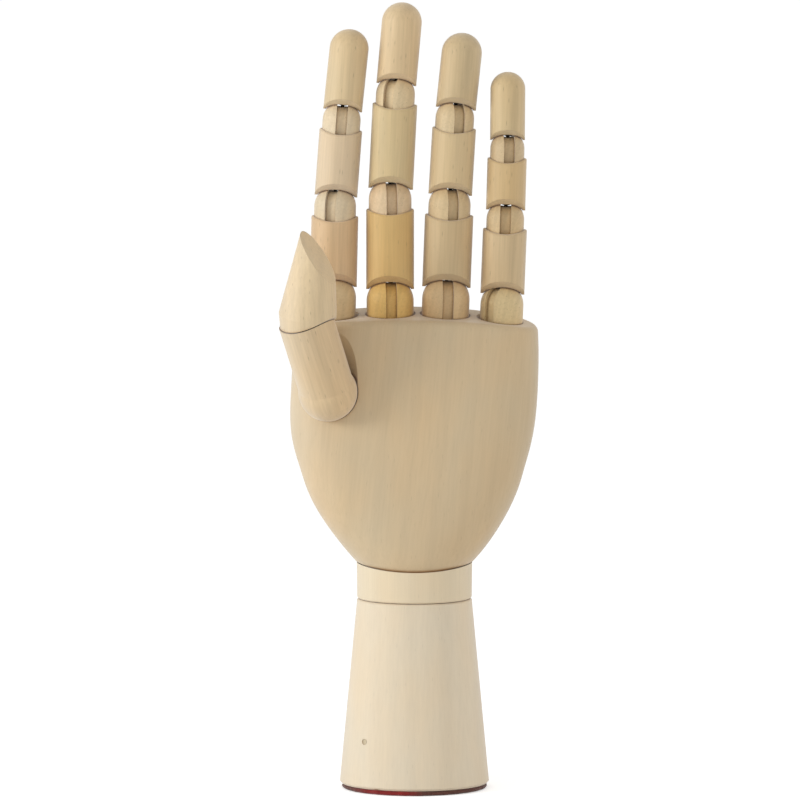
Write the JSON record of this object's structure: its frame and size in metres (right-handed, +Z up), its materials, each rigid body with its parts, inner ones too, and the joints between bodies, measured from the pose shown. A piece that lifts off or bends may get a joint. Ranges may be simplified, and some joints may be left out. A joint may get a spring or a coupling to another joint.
{
  "type": "jointed wooden hand mannequin",
  "caption": "Jointed wooden left hand on an oval column base, with ball-jointed fingers, a swinging thumb and a domed wrist, posed as an artist's model.",
  "frame": {"origin": "centre of the felt pad's underside, on the surface that the base stands on", "axes": "+Z up along the base towards the fingers, palm of the hand towards -Y, thumb towards -X, little finger towards +X"},
  "size_m": [0.0818, 0.0542, 0.2501],
  "materials": {
    "base_wood": "sanded, thin clear lacquer",
    "palm_wood": "sanded, thin clear lacquer",
    "finger_wood": "sanded, thin clear lacquer",
    "pale_wood": "sanded, thin clear lacquer",
    "warm_wood": "sanded, thin clear lacquer",
    "pink_wood": "sanded, thin clear lacquer",
    "ball_wood": "turned, unpolished",
    "felt": "felt",
    "nail": "tan filler over a flush head",
    "spring_steel": "drawn wire"
  },
  "bodies": {
    "base": {"base": "base_wood", "felt_pad": "felt", "base_pin": "nail"},
    "collar": {"wrist_collar": "base_wood"},
    "spring": {"wrist_spring": "spring_steel"},
    "palm": {"palm": "palm_wood", "wrist_eye": "spring_steel", "palm_wires": "spring_steel", "finger_springs": "spring_steel", "spring_eyes": "spring_steel"},
    "index_ball": {"index_knuckle_ball": "ball_wood", "index_knuckle_wire": "spring_steel"},
    "index_proximal": {"index_proximal": "finger_wood", "index_middle_ball": "ball_wood", "index_proximal_wire": "spring_steel"},
    "index_middle": {"index_middle": "finger_wood", "index_tip_ball": "ball_wood", "index_middle_wire": "spring_steel"},
    "index_tip": {"index_tip": "pale_wood", "index_tip_wire": "spring_steel"},
    "middle_ball": {"middle_knuckle_ball": "ball_wood", "middle_knuckle_wire": "spring_steel"},
    "middle_proximal": {"middle_proximal": "warm_wood", "middle_middle_ball": "ball_wood", "middle_proximal_wire": "spring_steel"},
    "middle_middle": {"middle_middle": "pale_wood", "middle_tip_ball": "ball_wood", "middle_middle_wire": "spring_steel"},
    "middle_tip": {"middle_tip": "finger_wood", "middle_tip_wire": "spring_steel"},
    "ring_ball": {"ring_knuckle_ball": "ball_wood", "ring_knuckle_wire": "spring_steel"},
    "ring_proximal": {"ring_proximal": "pink_wood", "ring_middle_ball": "ball_wood", "ring_proximal_wire": "spring_steel"},
    "ring_middle": {"ring_middle": "finger_wood", "ring_tip_ball": "ball_wood", "ring_middle_wire": "spring_steel"},
    "ring_tip": {"ring_tip": "pale_wood", "ring_tip_wire": "spring_steel"},
    "pinky_ball": {"pinky_knuckle_ball": "ball_wood", "pinky_knuckle_wire": "spring_steel"},
    "pinky_proximal": {"pinky_proximal": "finger_wood", "pinky_middle_ball": "ball_wood", "pinky_proximal_wire": "spring_steel"},
    "pinky_middle": {"pinky_middle": "warm_wood", "pinky_tip_ball": "ball_wood", "pinky_middle_wire": "spring_steel"},
    "pinky_tip": {"pinky_tip": "finger_wood", "pinky_tip_wire": "spring_steel"},
    "thumb_wire": {"thumb_ball_wire": "spring_steel"},
    "thumb": {"thumb_proximal": "finger_wood", "thumb_proximal_wire": "spring_steel"},
    "thumb_tip": {"thumb_tip": "pale_wood", "thumb_tip_wire": "spring_steel"}
  },
  "joints": [
    {"name": "wrist_turn", "type": "hinge", "parent": "base", "child": "collar", "pos_m": [0, 0, 0], "axis": [0, 0, 1], "range_deg": [-180, 180], "deforming": ["wrist_spring"]},
    {"name": "wrist_sway", "type": "hinge", "parent": "collar", "child": "spring", "pos_m": [0, 0, 0.10787], "axis": [0, 1, 0], "range_deg": [-8, 8], "deforming": ["wrist_spring"]},
    {"name": "wrist_nod", "type": "hinge", "parent": "spring", "child": "palm", "pos_m": [0, 0, 0.10787], "axis": [1, 0, 0], "range_deg": [-12, 12], "deforming": ["wrist_spring"]},
    {"name": "index_spread", "type": "hinge", "parent": "palm", "child": "index_ball", "pos_m": [-0.0257, 0, 0.1563], "axis": [0, -1, 0], "range_deg": [-0.8, 12]},
    {"name": "index_knuckle", "type": "hinge", "parent": "index_ball", "child": "index_proximal", "pos_m": [-0.0257, 0, 0.1563], "axis": [0.9997, 0, -0.0227], "range_deg": [-15, 38]},
    {"name": "index_middle_joint", "type": "hinge", "parent": "index_proximal", "child": "index_middle", "pos_m": [-0.02504, 0, 0.18539], "axis": [0.9972, 0, -0.075], "range_deg": [-10, 60]},
    {"name": "index_tip_joint", "type": "hinge", "parent": "index_middle", "child": "index_tip", "pos_m": [-0.02298, 0, 0.21282], "axis": [0.9945, 0, -0.1045], "range_deg": [-10, 60]},
    {"name": "middle_spread", "type": "hinge", "parent": "palm", "child": "middle_ball", "pos_m": [-0.0077, 0, 0.1554], "axis": [0, -1, 0], "range_deg": [-1, 1]},
    {"name": "middle_knuckle", "type": "hinge", "parent": "middle_ball", "child": "middle_proximal", "pos_m": [-0.0077, 0, 0.1554], "axis": [1, 0, 0], "range_deg": [-15, 60]},
    {"name": "middle_middle_joint", "type": "hinge", "parent": "middle_proximal", "child": "middle_middle", "pos_m": [-0.0077, 0, 0.1876], "axis": [0.9987, 0, -0.0506], "range_deg": [-10, 60]},
    {"name": "middle_tip_joint", "type": "hinge", "parent": "middle_middle", "child": "middle_tip", "pos_m": [-0.00601, 0, 0.22096], "axis": [0.9962, 0, -0.0872], "range_deg": [-10, 60]},
    {"name": "ring_spread", "type": "hinge", "parent": "palm", "child": "ring_ball", "pos_m": [0.0099, 0, 0.156], "axis": [0, 1, 0], "range_deg": [-1, 1]},
    {"name": "ring_knuckle", "type": "hinge", "parent": "ring_ball", "child": "ring_proximal", "pos_m": [0.0099, 0, 0.156], "axis": [0.9993, 0, -0.0384], "range_deg": [-15, 60]},
    {"name": "ring_middle_joint", "type": "hinge", "parent": "ring_proximal", "child": "ring_middle", "pos_m": [0.01104, 0, 0.18578], "axis": [0.9982, 0, -0.0593], "range_deg": [-10, 60]},
    {"name": "ring_tip_joint", "type": "hinge", "parent": "ring_middle", "child": "ring_tip", "pos_m": [0.01268, 0, 0.21333], "axis": [0.9945, 0, -0.1045], "range_deg": [-10, 60]},
    {"name": "pinky_spread", "type": "hinge", "parent": "palm", "child": "pinky_ball", "pos_m": [0.0276, 0, 0.1542], "axis": [0, 1, 0], "range_deg": [-1, 8]},
    {"name": "pinky_knuckle", "type": "hinge", "parent": "pinky_ball", "child": "pinky_proximal", "pos_m": [0.0276, 0, 0.1542], "axis": [0.9993, 0, -0.0384], "range_deg": [-15, 50]},
    {"name": "pinky_middle_joint", "type": "hinge", "parent": "pinky_proximal", "child": "pinky_middle", "pos_m": [0.02864, 0, 0.18128], "axis": [0.9996, 0, -0.0279], "range_deg": [-10, 60]},
    {"name": "pinky_tip_joint", "type": "hinge", "parent": "pinky_middle", "child": "pinky_tip", "pos_m": [0.02927, 0, 0.20377], "axis": [1, 0, -0.007], "range_deg": [-10, 60]},
    {"name": "thumb_swing", "type": "hinge", "parent": "palm", "child": "thumb_wire", "pos_m": [-0.0273, -0.0126, 0.128], "axis": [0, -1, 0], "range_deg": [-22, 40], "deforming": ["thumb_ball_wire"]},
    {"name": "thumb_reach", "type": "hinge", "parent": "thumb_wire", "child": "thumb", "pos_m": [-0.0273, -0.0126, 0.128], "axis": [1, 0, 0], "range_deg": [0, 35], "deforming": ["thumb_ball_wire"]},
    {"name": "thumb_tip_bend", "type": "hinge", "parent": "thumb", "child": "thumb_tip", "pos_m": [-0.03634, -0.02281, 0.16927], "axis": [0.501, 0.8617, 0.0802], "range_deg": [-15, 60]}
  ]
}
